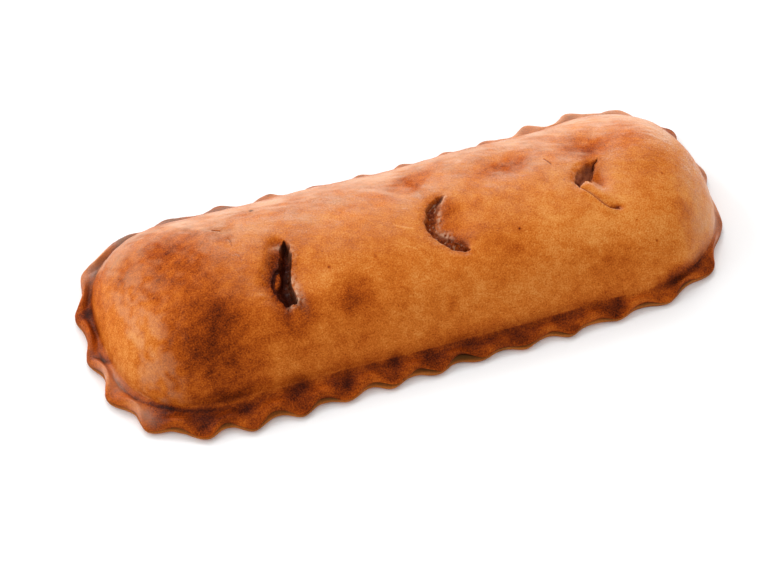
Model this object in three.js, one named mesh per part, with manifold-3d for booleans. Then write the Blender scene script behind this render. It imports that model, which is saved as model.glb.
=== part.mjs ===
// A long baked empanada: a pillow of pastry sealed flat round its edge in pinched flutes,
// with a sunken groove inside the sealed rim and three half-moon steam vents snipped across its crown.
// Millimetres, +Z up, the long axis on X. The origin is on the resting face, under the middle of the piece.
import * as THREE from "three";
import { ParametricGeometry } from "three/addons/geometries/ParametricGeometry.js";
import { mergeVertices } from "three/addons/utils/BufferGeometryUtils.js";
import Module from "manifold-3d";

// The plan outline, taken through the middle of the flutes
const halfLength = 90;
const halfWidth = 35.7;
const endReach = 35.1; // length of each rounded end
const endPower = 2.55; // 2 makes an elliptic end, more makes it squarer
const bow = 1.96; // how far both ends bend towards +Y

// Hand-made unevenness of the outline: slow waves round the rim, from the +X end
const wander = [
  { count: 2, size: 0.33, turn: -42 },
  { count: 3, size: 0.73, turn: 18 },
  { count: 4, size: 0.49, turn: 131 },
  { count: 5, size: 0.12, turn: 47 },
];

// The pinched flutes, and how far their spacing drifts, in flutes
const flutes = 32;
const fluteDepth = 2.1;
const fluteMiddle = 0.45; // share of the depth that lies inside the plan outline
const tipPower = 1.2; // over 1 makes the tips narrower than the valleys
const tipDroop = 1.7; // a tip bends down this much further than a valley
const levelTip = 0.45; // a flute this far out keeps the rim's own height
const drift = [
  { count: 1, size: 0.244, turn: -74 },
  { count: 2, size: 0.326, turn: -115 },
  { count: 3, size: 0.067, turn: -102 },
];

// The sealed rim: its mean width, and how the width changes round the piece
const rimWidth = 5.5;
const rimSpread = [
  { count: 1, size: 0.42, turn: -156 },
  { count: 2, size: 1.1, turn: 112 },
  { count: 3, size: 0.55, turn: -16 },
  { count: 4, size: 0.52, turn: 159 },
];

// The rim in section, from the underside's edge up over the lip and down into the groove:
// share of the rim's width in from the edge, height, share of the flute's swing, share of the tip's droop.
// Two sheets are sealed together there, with a slight nick along the seam
const rimSection = [
  { inset: 0.14, height: 0, swing: 0.9, droop: 0 },
  { inset: 0.02, height: 0.7, swing: 1, droop: 0 }, // the bottom sheet
  { inset: 0, height: 1.35, swing: 1, droop: 0 },
  { inset: 0.06, height: 1.65, swing: 1, droop: 0.1 }, // the seam
  { inset: 0.02, height: 1.95, swing: 1.05, droop: 0.3 },
  { inset: 0.06, height: 2.5, swing: 1.05, droop: 0.8 }, // the top sheet
  { inset: 0.18, height: 3.05, swing: 0.95, droop: 1 },
  { inset: 0.38, height: 3.4, swing: 0.6, droop: 0.75 },
  { inset: 0.6, height: 3.3, swing: 0.25, droop: 0.3 },
  { inset: 0.82, height: 3.2, swing: 0.05, droop: 0 },
];

// The domed pillow inside the rim
const crownHeight = 24.4;
const footHeight = 1;
const domePower = 2.1; // 2 makes an elliptic section, more makes it squarer
const grooveHeight = 2.8; // the groove that the dome's foot is sunk in
const footBlend = 8; // heights closer than this run softly into each other there

// The +X end is fuller: its dome is squarer and its rim narrower, over this share of the way round
const fullEnd = { reach: 0.035, power: 0.3, narrowing: 2 };

// Soft swellings and hollows of the pillow: place, reach along and across, turn of the long reach, rise
const lumps = [
  { x: -62, y: 1, along: 13, across: 15, turn: 0, rise: 0.5 }, // hump at the -X end
  { x: -45.5, y: 0, along: 14, across: 3.5, turn: 98, rise: -0.9 }, // crease beside the hump
  { x: -33, y: -7.5, along: 6, across: 5, turn: 0, rise: -0.7 }, // flap of the first vent
  { x: -12, y: 1, along: 14, across: 12, turn: 0, rise: 0.5 },
  { x: 2, y: 20, along: 7, across: 5, turn: 0, rise: -0.9 },
  { x: 5.5, y: 12.5, along: 6, across: 4, turn: 0, rise: -1.1 },
  { x: 11, y: -4.5, along: 5.5, across: 7, turn: 0, rise: -1.3 }, // flap of the second vent
  { x: 28, y: 20, along: 9, across: 6, turn: 0, rise: 1 },
  { x: 30, y: -6, along: 11, across: 11, turn: 0, rise: 0.5 },
  { x: 33, y: 9.5, along: 7, across: 4, turn: 15, rise: -1.4 },
  { x: 52, y: 20, along: 14, across: 8, turn: 0, rise: -2.4 },
  { x: 55, y: -5, along: 5.5, across: 7, turn: 0, rise: -1.3 }, // flap of the third vent
  { x: 57, y: 9, along: 6.5, across: 4.5, turn: 0, rise: -1.5 },
  { x: 68, y: 18, along: 8, across: 7, turn: 0, rise: -1.4 },
  { x: 77, y: 2, along: 8, across: 12, turn: 0, rise: 1.6 }, // bulge of the +X end
];

// Half-moon vents: middle of the chord, lean of the chord from Y, its length, swing of the cut to -X,
// width of the gap and how far along the chord the cut swings widest
const ventDepth = 6;
const vents = [
  { x: -34.9, y: -6.9, lean: -8, chord: 17, swing: 4.1, gap: 3.6, widest: -0.14 },
  { x: 12.6, y: -5.4, lean: 5, chord: 18, swing: 7.8, gap: 3.6, widest: 0.16 },
  { x: 56, y: -5.7, lean: 1, chord: 17, swing: 8, gap: 3, widest: 0.07 },
];

// How finely the surface is split
const around = 224;
const domeRows = 10;

const crust = new THREE.MeshStandardMaterial({ color: 0xbe6c32, roughness: 0.48, metalness: 0 });

const wasm = await Module();
wasm.setup();

// A sum of slow waves, with share running 0 to 1 counter-clockwise round the rim from the +X end
function waves(list, share) {
  const one = (w) => w.size * Math.cos(2 * Math.PI * w.count * share - THREE.MathUtils.degToRad(w.turn));
  return list.reduce((sum, w) => sum + one(w), 0);
}

// The plain outline: straight sides and super-elliptic ends, in four mirrored quarters
class RimLine extends THREE.Curve {
  quarter(part) {
    const straight = halfLength - endReach;
    const endPart = 0.6; // share of the quarter's parameter that runs round the end
    if (part > endPart) {
      return new THREE.Vector2((straight * (1 - part)) / (1 - endPart), halfWidth);
    }
    const angle = ((part / endPart) * Math.PI) / 2;
    const out = Math.cos(angle) ** (2 / endPower);
    const side = Math.sin(angle) ** (2 / endPower);
    return new THREE.Vector2(straight + endReach * out, halfWidth * side);
  }

  getPoint(t, target = new THREE.Vector2()) {
    const turn = t * 4;
    const index = Math.min(3, Math.floor(turn));
    const back = index % 2 === 1;
    target.copy(this.quarter(back ? index + 1 - turn : turn - index));
    if (index === 1 || index === 2) target.x = -target.x;
    if (index > 1) target.y = -target.y;
    return target;
  }
}

const rimLine = new RimLine();
rimLine.arcLengthDivisions = 4000;

// The plain outline at step i of the rim, the near side mirrored from the far side
function rimPoint(i) {
  const step = ((i % around) + around) % around;
  const far = step <= around / 2;
  const point = rimLine.getPointAt((far ? step : around - step) / around);
  if (!far) point.y = -point.y;
  return point;
}

// One spoke of the plan at step i of the rim: its foot on the spine, its end on the outline,
// the outward normal there, the rim's width, the dome's power, and how far out the flute stands
// (0 in a valley, 1 at a tip)
function makeSpoke(i) {
  const share = i / around;
  const edge = rimPoint(i);
  const reach = halfLength - endReach;
  const spine = new THREE.Vector2(THREE.MathUtils.clamp(edge.x, -reach, reach), 0);
  const tangent = rimPoint(i + 1).sub(rimPoint(i - 1)).normalize();
  const normal = new THREE.Vector2(tangent.y, -tangent.x);
  edge.addScaledVector(normal, waves(wander, share));
  const phase = flutes * share + waves(drift, share);
  const tip = (0.5 + 0.5 * Math.cos(2 * Math.PI * phase)) ** tipPower;
  const inward = spine.clone().sub(edge);
  const length = inward.length();
  const full = Math.exp(-((Math.min(share, 1 - share) / fullEnd.reach) ** 2));
  const rim = rimWidth + waves(rimSpread, share) - fullEnd.narrowing * full;
  const power = domePower + fullEnd.power * full;
  return { spine, edge, normal, inward: inward.normalize(), length, rim, power, tip };
}

const spokes = Array.from({ length: around }, (_, i) => makeSpoke(i));

// Height that the swellings and hollows add at a place on the pillow
function lumpRise(x, y) {
  return lumps.reduce((sum, lump) => {
    const turn = THREE.MathUtils.degToRad(lump.turn);
    const dx = x - lump.x;
    const dy = y - lump.y;
    const along = (dx * Math.cos(turn) + dy * Math.sin(turn)) / lump.along;
    const across = (dy * Math.cos(turn) - dx * Math.sin(turn)) / lump.across;
    return sum + lump.rise * Math.exp(-0.5 * (along * along + across * across));
  }, 0);
}

// A place on the rim's section
function rimSurface(spoke, row) {
  const swing = fluteDepth * (spoke.tip - fluteMiddle) * row.swing;
  const plan = spoke.edge.clone().addScaledVector(spoke.normal, swing);
  plan.addScaledVector(spoke.inward, row.inset * spoke.rim);
  const height = row.height - row.droop * tipDroop * (spoke.tip - levelTip);
  return new THREE.Vector3(plan.x, plan.y, height);
}

// The greater of two heights, with a soft hollow where they meet
function softMax(a, b, blend) {
  const near = Math.max(0, blend - Math.abs(a - b)) / blend;
  return Math.max(a, b) + (near * near * blend) / 4;
}

// A place on the dome: part runs 0 at its foot to 1 on the spine
function domeSurface(spoke, part) {
  const out = Math.sin(((1 - part) * Math.PI) / 2);
  const reach = (spoke.length - spoke.rim) * out;
  const plan = spoke.spine.clone().addScaledVector(spoke.inward, -reach);
  const rise = (1 - out ** spoke.power) ** (1 / spoke.power);
  const height = footHeight + (crownHeight - footHeight + lumpRise(plan.x, plan.y)) * rise;
  return new THREE.Vector3(plan.x, plan.y, softMax(height, grooveHeight, footBlend));
}

// The whole skin, row by row: underside, edge, rim, groove, dome, spine
const rows = 1 + rimSection.length + domeRows;

function skin(u, v, target) {
  const spoke = spokes[Math.round(u * around) % around];
  const row = Math.round(v * rows);
  if (row === 0) {
    target.set(spoke.spine.x, 0, 0);
  } else if (row <= rimSection.length) {
    target.copy(rimSurface(spoke, rimSection[row - 1]));
  } else {
    target.copy(domeSurface(spoke, (row - 1 - rimSection.length) / domeRows));
  }
  target.y += bow * (target.x / halfLength) ** 2;
}

// A closed geometry as a solid: corners merged, and the slivers at the ends of the spine dropped
function toSolid(geometry) {
  geometry.deleteAttribute("normal");
  geometry.deleteAttribute("uv");
  const merged = mergeVertices(geometry, 1e-4);
  const corners = merged.index.array;
  const kept = [];
  for (let i = 0; i < corners.length; i += 3) {
    const [a, b, c] = corners.slice(i, i + 3);
    if (a !== b && b !== c && c !== a) kept.push(a, b, c);
  }
  const vertProperties = merged.attributes.position.array;
  return new wasm.Manifold(new wasm.Mesh({ numProp: 3, vertProperties, triVerts: new Uint32Array(kept) }));
}

function toGeometry(solid) {
  const mesh = solid.getMesh();
  const geometry = new THREE.BufferGeometry();
  geometry.setAttribute("position", new THREE.BufferAttribute(mesh.vertProperties, 3));
  geometry.setIndex(new THREE.BufferAttribute(mesh.triVerts, 1));
  return geometry;
}

// The gap that opens where a half-moon flap has sunk away from the crust beside it
function ventGap(vent) {
  const high = vent.chord * vent.widest;
  const half = vent.chord / 2;
  const outline = new THREE.Shape();
  outline.moveTo(0, half);
  outline.quadraticCurveTo(-2 * vent.swing, high, 0, -half);
  outline.quadraticCurveTo(-2 * (vent.swing - vent.gap), high, 0, half);
  const geometry = new THREE.ExtrudeGeometry(outline, {
    depth: 3 * ventDepth,
    bevelEnabled: false,
    curveSegments: 12,
  });
  geometry.rotateZ(THREE.MathUtils.degToRad(vent.lean));
  geometry.translate(vent.x, vent.y, crownHeight - ventDepth);
  return geometry;
}

let solid = toSolid(new ParametricGeometry(skin, around, rows));
for (const vent of vents) {
  solid = solid.subtract(toSolid(ventGap(vent)));
}

// The resting face's middle goes to the origin
const body = toGeometry(solid);
body.computeBoundingBox();
const middle = body.boundingBox.getCenter(new THREE.Vector3());
body.translate(-middle.x, -middle.y, 0);
body.computeVertexNormals();

const empanada = new THREE.Mesh(body, crust);
empanada.name = "empanada";

const part = new THREE.Group();
part.add(empanada);

export default part;
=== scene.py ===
import bisect
import math
import bmesh
import bpy
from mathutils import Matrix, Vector, kdtree, noise


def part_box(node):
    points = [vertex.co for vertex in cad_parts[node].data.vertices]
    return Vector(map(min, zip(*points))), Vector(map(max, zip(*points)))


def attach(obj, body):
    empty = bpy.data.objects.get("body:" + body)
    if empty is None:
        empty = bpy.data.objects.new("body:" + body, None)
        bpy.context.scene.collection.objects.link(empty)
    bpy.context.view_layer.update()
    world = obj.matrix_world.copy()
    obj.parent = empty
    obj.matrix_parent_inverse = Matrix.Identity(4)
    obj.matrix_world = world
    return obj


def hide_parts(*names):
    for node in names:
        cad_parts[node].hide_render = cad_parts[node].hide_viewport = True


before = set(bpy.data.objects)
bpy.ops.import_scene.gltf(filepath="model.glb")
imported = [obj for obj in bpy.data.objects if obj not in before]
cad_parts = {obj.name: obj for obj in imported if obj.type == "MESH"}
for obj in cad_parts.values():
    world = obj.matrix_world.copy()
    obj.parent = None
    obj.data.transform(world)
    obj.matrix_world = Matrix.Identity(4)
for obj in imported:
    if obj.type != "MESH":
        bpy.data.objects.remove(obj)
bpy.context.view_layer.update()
mm = 0.001
scene = bpy.context.scene

# Plan, rim and dome of the pastry, in millimetres. A place round the rim is a share of it, 0 to 1 from the
# +X end. Waves are (count round the rim, size, turn in degrees).
crust = {
    "halfLength": 90, "halfWidth": 35.7, "endReach": 35.1, "endPower": 2.55, "bow": 1.96,
    "wander": [(2, 0.33, -42), (3, 0.73, 18), (4, 0.49, 131), (5, 0.12, 47)],
    # the pinched flutes: how many, how deep on average, share of the depth that lies inside the plan outline,
    # how narrow the tips are, how the depth changes round the rim, how unlike they are,
    # and how their places drift, in flutes
    "flutes": 32, "fluteDepth": 2.3, "fluteMiddle": 0.45, "tipPower": 1.2, "deeper": [(1, 0.5, 90)],
    "unlike": 0.8, "drift": [(1, 0.244, -74), (2, 0.326, -115), (3, 0.067, -102)],
    # a tip bends down this much further than a valley, and one this far out keeps the rim's own height
    "tipDroop": 1.7, "levelTip": 0.45,
    # where the two sheets gape: place, half the length, how far it opens; and how far they part elsewhere
    "gapes": [
        (0.585, 0.007, 0.4), (0.612, 0.008, 0.4), (0.642, 0.012, 0.55), (0.672, 0.009, 0.4),
        (0.7085, 0.01, 0.65), (0.735, 0.0095, 1.0), (0.7605, 0.0115, 1.2), (0.797, 0.008, 0.5),
        (0.8195, 0.009, 0.6), (0.846, 0.008, 0.45), (0.877, 0.008, 0.4), (0.905, 0.009, 0.5),
    ],
    "strayGape": 0.25,
    # the lip that stands up along the -X end: place and rise
    "lipRise": [(0.38, 0), (0.43, 1.0), (0.53, 1.1), (0.575, 0.2), (0.62, 0)],
    "rimWidth": 5.5, "rimSpread": [(1, 0.42, -156), (2, 1.1, 112), (3, 0.55, -16), (4, 0.52, 159)],
    # share of the rim's width in from the edge, height, share of the flute's swing, share of the tip's droop,
    # and how far a gape moves it in and up
    "rimSection": [
        (0.14, 0.0, 0.9, 0.0, 0.0, 0.0),     # 0 edge of the underside
        (0.02, 0.7, 1.0, 0.0, 0.0, 0.0),     # 1 bottom sheet
        (0.0, 1.35, 1.0, 0.0, 0.03, 0.05),   # 2 its upper corner
        (0.04, 1.65, 1.0, 0.1, 0.24, -0.1),  # 3 seam between the sheets
        (0.02, 1.95, 1.05, 0.3, 0.13, 1.0),  # 4 lower corner of the top sheet
        (0.06, 2.5, 1.05, 0.8, 0.1, 0.95),   # 5 top sheet
        (0.18, 3.05, 0.95, 1.0, 0.05, 0.6),  # 6 lip
        (0.38, 3.4, 0.6, 0.75, 0.0, 0.25),   # 7 top of the rim
        (0.6, 3.3, 0.25, 0.3, 0.0, 0.0),     # 8 slope into the groove
        (0.82, 3.2, 0.05, 0.0, 0.0, 0.0),    # 9 groove
        (1.0, 4.0, 0.0, 0.0, 0.0, 0.0),      # 10 foot of the dome
    ],
    "crownHeight": 24.4, "footHeight": 1.0, "domePower": 2.1, "grooveHeight": 2.8,
    # how widely the foot rounds into the groove, and how often and between which rows it is smoothed
    "footBlend": 8.0, "footSoftening": 14, "footRows": (1.72, 2.16),
    # the +X end bulges out over its rim: reach, added power, and by place how much of the rim it covers
    "fullEnd": (0.035, 0.3),
    "covered": [(0, 2.2), (0.035, 1.4), (0.07, 0), (0.84, 0), (0.9, 1.3), (0.96, 2.3), (1, 2.2)],
    # where the dome drapes over the groove: place and how far, and the height that it fills
    "drape": [
        (0, 0.9), (0.03, 0.8), (0.07, 0.3), (0.12, 0.1), (0.4, 0.1), (0.43, 0), (0.66, 0), (0.7, 0.3),
        (0.91, 0.3), (0.95, 0.5), (0.97, 0.85), (1, 0.9),
    ],
    "drapeRise": 4.0,
    # soft swellings and hollows: x, y, reach along, reach across, turn of the long reach, rise
    "lumps": [
        (-62, 1, 13, 15, 0, 0.5), (-45.5, 0, 14, 3.5, 98, -0.9), (-33, -7.5, 6, 5, 0, -0.7),
        (-12, 1, 14, 12, 0, 0.5), (2, 20, 7, 5, 0, -0.9), (5.5, 12.5, 6, 4, 0, -1.1),
        (11, -4.5, 5.5, 7, 0, -1.3), (28, 20, 9, 6, 0, 1.0), (30, -6, 11, 11, 0, 0.5),
        (33, 9.5, 7, 4, 15, -1.4), (52, 20, 14, 8, 0, -2.4), (55, -5, 5.5, 7, 0, -1.3),
        (56.5, 8.5, 6, 4.5, 0, -2.1), (68, 18, 8, 7, 0, -1.4), (77, 2, 8, 12, 0, 1.6),
    ],
    "around": 720, "rimSteps": 3, "domeRows": 60, "underRows": 3,
    # points beyond these rows run together on the spine when they are this close
    "spineRows": (0.01, 2.85), "spineGap": 0.15,
}


def slowWaves(waves, share):
    turns = 2 * math.pi * share
    return sum(size * math.cos(turns * count - math.radians(turn)) for count, size, turn in waves)


def softStep(low, high, at):
    part = min(1.0, max(0.0, (at - low) / (high - low)))
    return part * part * (3 - 2 * part)


def easeThrough(points, at):
    # soft steps through (at, value) pairs
    if at <= points[0][0]:
        return points[0][1]
    for (low, a), (high, b) in zip(points, points[1:]):
        if at <= high:
            return a + (b - a) * softStep(low, high, at)
    return points[-1][1]


def softMax(a, b, blend):
    # the greater of two heights, with a soft hollow where they meet
    near = max(0.0, blend - abs(a - b)) / blend
    return max(a, b) + near * near * blend / 4


def turnedPlace(x, y, blob):
    # x, y along and across a long spot, in its own reaches
    midX, midY, along, across, turn = blob[:5]
    c, s = math.cos(math.radians(turn)), math.sin(math.radians(turn))
    return ((x - midX) * c + (y - midY) * s) / along, ((y - midY) * c - (x - midX) * s) / across


def softBlob(x, y, blob):
    # height of a long soft spot at x, y
    a, b = turnedPlace(x, y, blob)
    return math.exp(-0.5 * (a * a + b * b))


def flatBlob(x, y, blob):
    # the same with a flat top and a quicker edge
    a, b = turnedPlace(x, y, blob)
    return math.exp(-0.5 * (a * a + b * b) ** 2)


def drawn(p, size, seed=(0, 0, 0)):
    # a steady random value at a place, changing over that many millimetres
    return noise.noise(p / size + Vector(seed))


def curveThrough(rows, part):
    # a smooth curve through rows of numbers, part counting the rows
    k = min(len(rows) - 2, int(part))
    t = part - k
    a, b, c, d = (rows[min(len(rows) - 1, max(0, k + j))] for j in (-1, 0, 1, 2))
    return [0.5 * (2 * q + (r - p) * t + (2 * p - 5 * q + 4 * r - s) * t * t
                   + (3 * q - p - 3 * r + s) * t ** 3) for p, q, r, s in zip(a, b, c, d)]


def quarterTable(steps=3000):
    # running length and place along one quarter of the plain outline, from the end to the middle of the side
    straight = crust["halfLength"] - crust["endReach"]
    power = 2 / crust["endPower"]
    table = [(0.0, float(crust["halfLength"]), 0.0)]
    for i in range(1, steps + 1):
        angle = 0.5 * math.pi * i / steps
        x = straight + crust["endReach"] * max(0.0, math.cos(angle)) ** power
        y = crust["halfWidth"] * math.sin(angle) ** power
        length = table[-1][0] + math.hypot(x - table[-1][1], y - table[-1][2])
        table.append((length, x, y))
    table.append((table[-1][0] + straight, 0.0, table[-1][2]))
    return table


quarter = quarterTable()
quarterLengths = [row[0] for row in quarter]


def rimPoint(i):
    # the plain outline at step i, mirrored so that both long sides pair up on the spine
    step = i % crust["around"]
    far = step <= crust["around"] / 2
    share = (step if far else crust["around"] - step) / crust["around"]
    length = quarterLengths[-1] * min(4 * share, 2 - 4 * share)
    k = min(len(quarter) - 1, max(1, bisect.bisect_left(quarterLengths, length)))
    low, high = quarter[k - 1], quarter[k]
    part = (length - low[0]) / (high[0] - low[0])
    x = low[1] + (high[1] - low[1]) * part
    y = low[2] + (high[2] - low[2]) * part
    return Vector((x if share <= 0.25 else -x, y if far else -y))


def whim(share, seed, count=32):
    # a steady random value round the rim, changing that many times
    ring = count / (2 * math.pi)
    angle = 2 * math.pi * share
    return noise.noise(Vector((ring * math.cos(angle), ring * math.sin(angle), seed * 7.3)))


def pinchAt(share):
    # how far the edge stands out, and how much of a tip it is: 0 in a valley, 1 at a full tip
    phase = crust["flutes"] * share + slowWaves(crust["drift"], share)
    tip = (0.5 + 0.5 * math.cos(2 * math.pi * phase)) ** crust["tipPower"]
    depth = crust["fluteDepth"] + slowWaves(crust["deeper"], share)
    depth *= 1 + crust["unlike"] * whim(share, 2)
    return depth * (tip - crust["fluteMiddle"]), tip


def makeSpoke(i):
    # one line of the plan, from its foot on the spine to the outline
    share = i / crust["around"]
    edge = rimPoint(i)
    spineHalf = crust["halfLength"] - crust["endReach"]
    spine = Vector((min(spineHalf, max(-spineHalf, edge.x)), 0.0))
    tangent = (rimPoint(i + 1) - rimPoint(i - 1)).normalized()
    normal = Vector((tangent.y, -tangent.x))
    edge += normal * slowWaves(crust["wander"], share)
    out, tip = pinchAt(share)
    reach, power = crust["fullEnd"]
    full = math.exp(-(min(share, 1 - share) / reach) ** 2)
    stray = crust["strayGape"] * max(0.0, whim(share, 4)) * (1 - tip)
    gapes = [size * max(0.0, 1 - ((share - place) / half) ** 2) for place, half, size in crust["gapes"]]
    rim = crust["rimWidth"] + slowWaves(crust["rimSpread"], share)
    inward = spine - edge
    return {"share": share, "spine": spine, "edge": edge, "normal": normal, "inward": inward.normalized(),
            "length": inward.length, "power": crust["domePower"] + power * full,
            "rim": rim - easeThrough(crust["covered"], share), "out": out, "tip": tip,
            "gape": max(stray, *gapes), "lip": easeThrough(crust["lipRise"], share),
            "groove": crust["grooveHeight"] + crust["drapeRise"] * easeThrough(crust["drape"], share)}


spokes = [makeSpoke(i) for i in range(crust["around"])]


def footRise(groove):
    # height of the dome's foot in a groove of that height
    return softMax(crust["footHeight"], groove, crust["footBlend"])


def rimSkin(spoke, section):
    # plan and height of the rim's surface, section counting the rows of rimSection
    inset, height, swing, droop, gapeIn, gapeUp = curveThrough(crust["rimSection"], section)
    plan = spoke["edge"] + spoke["normal"] * spoke["out"] * swing
    plan = plan + spoke["inward"] * (inset + gapeIn * spoke["gape"]) * spoke["rim"]
    height += gapeUp * spoke["gape"] - droop * crust["tipDroop"] * (spoke["tip"] - crust["levelTip"])
    # the lip stands between the seam and the slope, and the drape fills from the top sheet inwards
    height += spoke["lip"] * softStep(3, 6, section) * (1 - softStep(6.5, 8, section))
    height += (footRise(spoke["groove"]) - footRise(crust["grooveHeight"])) * softStep(5.5, 10.5, section)
    return plan, height


def skinPoint(spoke, row):
    # row 0 to 1 is the underside from the spine out, 1 to 2 the rim, 2 to 3 the dome up to the spine
    if row < 1:
        plan = spoke["spine"].lerp(rimSkin(spoke, 0)[0], row)
        height = 0.0
    elif row <= 2:
        plan, height = rimSkin(spoke, (row - 1) * (len(crust["rimSection"]) - 1))
    else:
        out = math.sin((3 - row) * 0.5 * math.pi)
        plan = spoke["spine"] - spoke["inward"] * (spoke["length"] - spoke["rim"]) * out
        rise = max(0.0, 1 - out ** spoke["power"]) ** (1 / spoke["power"])
        swell = sum(lump[5] * softBlob(plan.x, plan.y, lump) for lump in crust["lumps"])
        height = crust["footHeight"] + (crust["crownHeight"] - crust["footHeight"] + swell) * rise
        height = softMax(height, spoke["groove"], crust["footBlend"])
    bend = crust["bow"] * (plan.x / crust["halfLength"]) ** 2
    return Vector((plan.x, plan.y + bend, max(0.0, height)))


def soften(bm, verts, rounds):
    for _ in range(rounds):
        bmesh.ops.smooth_vert(bm, verts=verts, factor=0.5, use_axis_x=True, use_axis_y=True, use_axis_z=True)


def buildShell():
    # a ring pulled out row by row, closed along the spine above and below
    bm = bmesh.new()
    spokeOf = bm.verts.layers.int.new("spoke")
    rowOf = bm.verts.layers.float.new("row")
    rimRows = crust["rimSteps"] * (len(crust["rimSection"]) - 1)
    upRows = [1 + i / rimRows for i in range(rimRows + 1)]
    upRows += [2 + (i + 1) / crust["domeRows"] for i in range(crust["domeRows"])]
    downRows = [1 - (i + 1) / crust["underRows"] for i in range(crust["underRows"])]

    def place(verts, row):
        for v in verts:
            v[rowOf] = row
            v.co = skinPoint(spokes[v[spokeOf]], row)

    ring = bmesh.ops.create_circle(bm, cap_ends=False, radius=1, segments=crust["around"])["verts"]
    firstEdges = bm.edges[:]
    for i, v in enumerate(ring):
        v[spokeOf] = i
    place(ring, 1)
    for rows in (upRows[1:], downRows):
        edges = firstEdges
        for row in rows:
            made = bmesh.ops.extrude_edge_only(bm, edges=edges)["geom"]
            edges = [g for g in made if isinstance(g, bmesh.types.BMEdge)]
            place([g for g in made if isinstance(g, bmesh.types.BMVert)], row)
    below, above = crust["spineRows"]
    nearSpine = [v for v in bm.verts if v[rowOf] > above or v[rowOf] < below]
    bmesh.ops.remove_doubles(bm, verts=nearSpine, dist=crust["spineGap"])
    low, high = crust["footRows"]
    soften(bm, [v for v in bm.verts if low < v[rowOf] < high], crust["footSoftening"])
    bmesh.ops.recalc_face_normals(bm, faces=bm.faces[:])
    return bm


# Half-moon vents, in plan: the cut edge of the standing crust and the edge of the flap that sank away from
# it, the floor between them (0 at the cut, 1 at the flap), how softly the dark begins and how far the
# flap's edge is rolled, by the flap's length, and how much the floor is flecked with painted glints. Then how
# the flap sags (x, y, reaches, turn, rise), the rise and reach of each edge, the cut's brown halo, by the
# flap's length how wet its edge is, which also sets its painted highlight, and how far the browning runs up
# it, and the browning of the floor and its grey painted shade.
vents = [
    {"cut": [(-33.0, 3.0), (-34.9, 1.4), (-35.8, -1.0), (-37.2, -3.4), (-39.2, -5.8), (-40.8, -8.4),
             (-40.7, -10.2), (-40.2, -11.6), (-39.7, -13.4), (-38.5, -15.2), (-36.6, -15.7)],
     "flap": [(-33.0, 3.0), (-32.6, 0.8), (-33.0, -2.2), (-33.9, -5.2), (-35.2, -8.4), (-35.5, -11.0),
              (-35.3, -13.2), (-35.4, -14.9), (-36.6, -15.7)],
     "floor": [(0, -0.9), (0.25, -2.1), (0.55, -3.6), (0.86, -3.6), (0.96, -1.2), (1, 0.2)],
     "soft": [(0, 0.4), (0.34, 0.36), (0.46, 0.08), (1, 0.1)], "rolled": [(0, 0.3), (1, 0.3)],
     "sag": (-33.5, -8, 3, 5, 0, -0.2), "lip": -1.1, "lipReach": 4.2, "flapLip": 0.35, "flapReach": 2.2,
     "halo": 0.34, "haloReach": 2.1,
     "wetGlint": [(0, 0.1), (0.1, 0.5), (0.24, 0.6), (0.36, 0.1), (0.46, 0.7), (0.62, 1.0), (0.86, 1.0),
             (0.94, 0.4), (1, 0.2)], "wetReach": 2.6,
     "run": [(0, 0.25), (0.15, 0.16), (0.5, 0.1), (0.8, 0.12), (0.92, 0.24), (1, 0.28)], "runReach": 2.0,
     "brown": 0.97,
     # a loose flake left standing in the gap: x, y, half length, half width, turn, height
     "flake": (-38.3, -7.7, 2.9, 1.05, 62, -0.9)},
    {"cut": [(12.6, 3.4), (10.0, 3.4), (7.4, 2.0), (5.6, -0.2), (4.4, -2.7), (3.8, -5.3), (4.3, -7.8),
             (5.6, -9.9), (7.2, -12.0), (9.2, -13.7), (11.2, -14.7), (13.6, -14.8)],
     "flap": [(12.6, 3.4), (10.9, 1.5), (9.3, -0.6), (8.1, -2.8), (7.1, -5.0), (6.5, -6.6), (7.4, -8.0),
              (9.0, -9.6), (10.6, -11.5), (12.1, -13.3), (13.6, -14.8)],
     "floor": [(0, -0.3), (0.12, -1.5), (0.4, -1.9), (0.75, -1.5), (1, -0.5)],
     "soft": [(0, 0.3), (0.5, 0.2), (1, 0.15)], "rolled": [(0, 1.0), (0.5, 1.0), (0.62, 0.5), (1, 0.3)],
     "flecks": 0.4,
     "sag": (8.6, -6.2, 4.2, 4.6, 0, -1.3), "lip": -0.3, "lipReach": 2.0, "flapLip": -0.5, "flapReach": 3.0,
     "halo": 0.16, "haloReach": 0.7,
     "wetGlint": [(0, 0.5), (0.1, 0.7), (0.22, 0.5), (0.45, 0.5), (0.52, 0.6), (0.62, 0.3), (0.68, 0.05), (1, 0)],
     "wetReach": 0.55,
     "run": [(0, 0.1), (0.4, 0.16), (0.58, 0.24), (0.7, 0.34), (0.9, 0.36), (1, 0.24)], "runReach": 2.5,
     "brown": 0.7},
    {"cut": [(56.8, 2.6), (54.7, 2.0), (52.6, 1.6), (50.4, 0.4), (48.8, -1.3), (47.7, -3.2), (47.4, -5.0),
             (48.0, -6.4)],
     "flap": [(56.8, 2.6), (55.4, 0.5), (54.2, -1.3), (53.0, -3.2), (51.9, -4.6), (50.7, -4.5), (49.3, -5.1),
              (48.0, -6.4)],
     "floor": [(0, -0.5), (0.25, -1.5), (0.5, -2.5), (0.85, -2.3), (1, -0.3)],
     "soft": [(0, 0.5), (0.4, 0.4), (0.7, 0.2), (1, 0.2)], "rolled": [(0, 0.3), (1, 0.3)],
     "sag": (54.5, -2.5, 2.6, 3.2, 0, -1.1), "lip": -0.5, "lipReach": 2.0, "flapLip": -0.3, "flapReach": 1.2,
     "halo": 0.16, "haloReach": 0.8, "wetGlint": [(0, 0), (1, 0)], "wetReach": 1.0,
     "run": [(0, 0.1), (0.4, 0.1), (0.6, 0), (1, 0)], "runReach": 1.0, "brown": 0.6, "paintedGreyShade": 0.8},
]
ventsAbove = 12       # the vents are cut only above this height
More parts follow.
